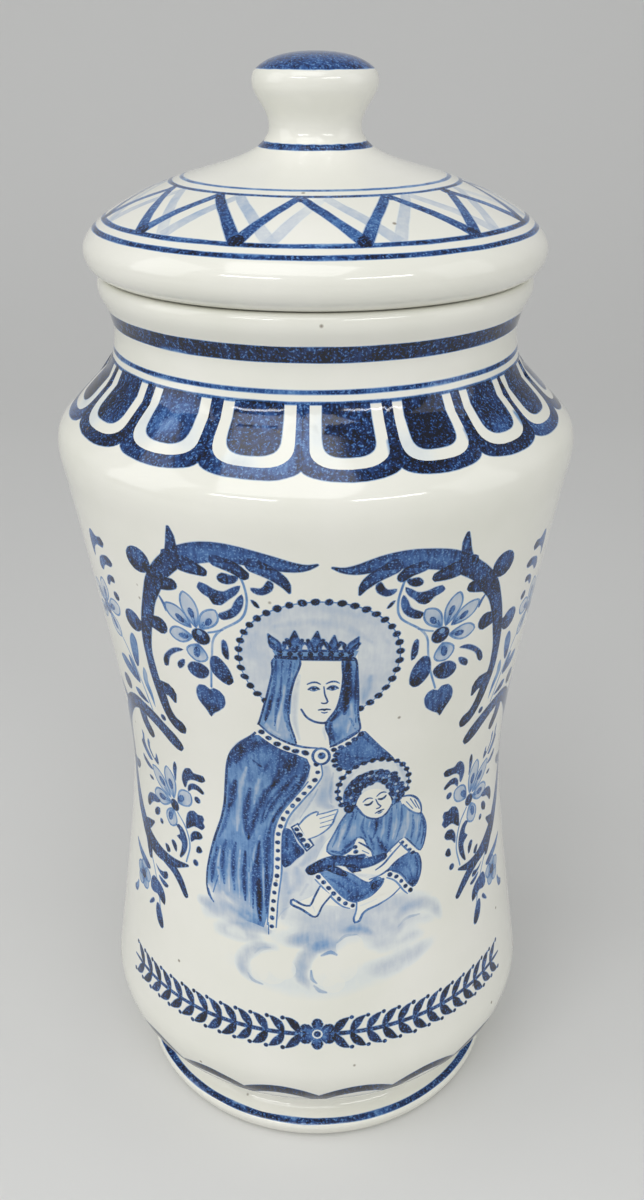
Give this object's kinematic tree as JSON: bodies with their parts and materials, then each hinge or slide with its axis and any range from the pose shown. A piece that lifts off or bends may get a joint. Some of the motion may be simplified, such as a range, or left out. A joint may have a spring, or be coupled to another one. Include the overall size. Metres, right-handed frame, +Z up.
{
  "type": "albarello jar",
  "caption": "Waisted glazed earthenware drug jar on a flared foot, with a loose domed lid whose collar drops into the mouth and a knob to lift it by.",
  "frame": {"origin": "on the axis, in the plane that the foot stands on", "axes": "+Z up along the axis of the turned jar, -Y towards the painted front"},
  "size_m": [0.1366, 0.1366, 0.3],
  "materials": {
    "jar_glaze": "glossy cream tin glaze painted in cobalt blue",
    "lid_glaze": "glossy cream tin glaze painted in cobalt blue"
  },
  "bodies": {
    "jar": {"jar_body": "jar_glaze"},
    "lid": {"lid": "lid_glaze"}
  },
  "joints": [
    {"name": "lid_lift", "type": "slide", "parent": "jar", "child": "lid", "axis": [0, 0, 1], "range_m": [0, 0.08]}
  ]
}
